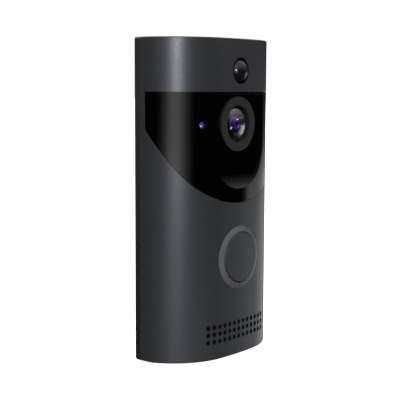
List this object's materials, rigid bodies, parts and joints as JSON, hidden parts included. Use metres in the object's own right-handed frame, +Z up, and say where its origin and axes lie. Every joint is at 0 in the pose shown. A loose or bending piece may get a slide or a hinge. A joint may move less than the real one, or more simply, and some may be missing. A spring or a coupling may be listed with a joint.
{
  "type": "video doorbell",
  "caption": "Battery video doorbell with a curved painted front, gloss camera panel, round call button and a wall bracket it lifts off.",
  "frame": {"origin": "centre of the bracket's four wall-screw holes, on the wall plane", "axes": "+Z up, -Y out of the wall through the front, +X to the right of a person facing the doorbell"},
  "size_m": [0.076, 0.0292, 0.138],
  "materials": {
    "graphite_paint": "metallic graphite paint, satin",
    "black_gloss": "polished black",
    "smoked_lens": "smoked, polished",
    "ring_grey": "dark grey, satin",
    "button_grey": "grey paint, satin",
    "halo_grey": "translucent grey, satin",
    "clear_glass": "coated, polished",
    "black_abs": "fine moulded texture",
    "black_rubber": "matt",
    "barrel_black": "anodised",
    "board_green": "solder mask",
    "chip_black": "moulded",
    "tin_can": "drawn sheet",
    "steel": "zinc plated",
    "brass": "turned",
    "cell_wrap": "shrink wrap",
    "white_abs": "moulded",
    "foam": "foam",
    "cone_paper": "pressed",
    "sensor_blue": "tinted, polished",
    "flex_amber": "film"
  },
  "bodies": {
    "bracket": {"wall_bracket": "black_abs"},
    "security_screw": {"security_screw": "steel"},
    "call_button": {"button_cap": "button_grey", "switch_plunger": "white_abs"},
    "reset_button": {"reset_button": "black_rubber"},
    "port_cover": {"port_cover": "black_rubber"},
    "doorbell": {"antenna": "white_abs", "battery_cells": "cell_wrap", "battery_connector": "white_abs", "battery_cradle": "black_abs", "button_ring": "halo_grey", "button_seal": "black_rubber", "button_switch": "tin_can", "camera_board": "board_green", "camera_flex": "flex_amber", "case_screws": "steel", "case_seal": "black_rubber", "charging_port": "tin_can", "front_lens_element": "clear_glass", "front_panel": "black_gloss", "front_shell": "graphite_paint", "image_sensor": "chip_black", "ir_led_board": "board_green", "ir_leds": "white_abs", "lens_barrel": "barrel_black", "lens_glass": "clear_glass", "lens_holder": "black_abs", "lens_ring": "ring_grey", "light_sensor_board": "board_green", "light_sensor_lens": "sensor_blue", "main_board": "board_green", "mic_boot": "black_rubber", "microphone": "tin_can", "pir_board": "board_green", "pir_dome": "smoked_lens", "pir_sensor": "tin_can", "port_board": "board_green", "processor_shield": "tin_can", "radio_module": "tin_can", "rear_housing": "black_abs", "rear_lens_element": "clear_glass", "reset_switch": "chip_black", "ring_leds": "white_abs", "speaker": "black_abs", "speaker_cone": "cone_paper", "speaker_gasket": "foam", "speaker_mesh": "cone_paper", "terminal_posts": "brass", "terminal_screws": "brass", "terminal_washers": "steel"}
  },
  "joints": [
    {"name": "doorbell_lift", "type": "slide", "parent": "bracket", "child": "doorbell", "axis": [0, 0, 1], "range_m": [0, 0.008]},
    {"name": "security_screw_out", "type": "slide", "parent": "bracket", "child": "security_screw", "axis": [0, 0, -1], "range_m": [0, 0.01]},
    {"name": "call_button_press", "type": "slide", "parent": "doorbell", "child": "call_button", "axis": [0, 1, 0], "range_m": [0, 0.0005], "stiffness_N_per_m": 1200, "springref_m": -0.0002},
    {"name": "reset_button_press", "type": "slide", "parent": "doorbell", "child": "reset_button", "axis": [0, -1, 0], "range_m": [0, 0.0005], "stiffness_N_per_m": 800, "springref_m": -0.0002},
    {"name": "port_cover_open", "type": "hinge", "parent": "doorbell", "child": "port_cover", "pos_m": [0.016, -0.00425, -0.0669], "axis": [-1, 0, 0], "range_deg": [0, 100]}
  ]
}
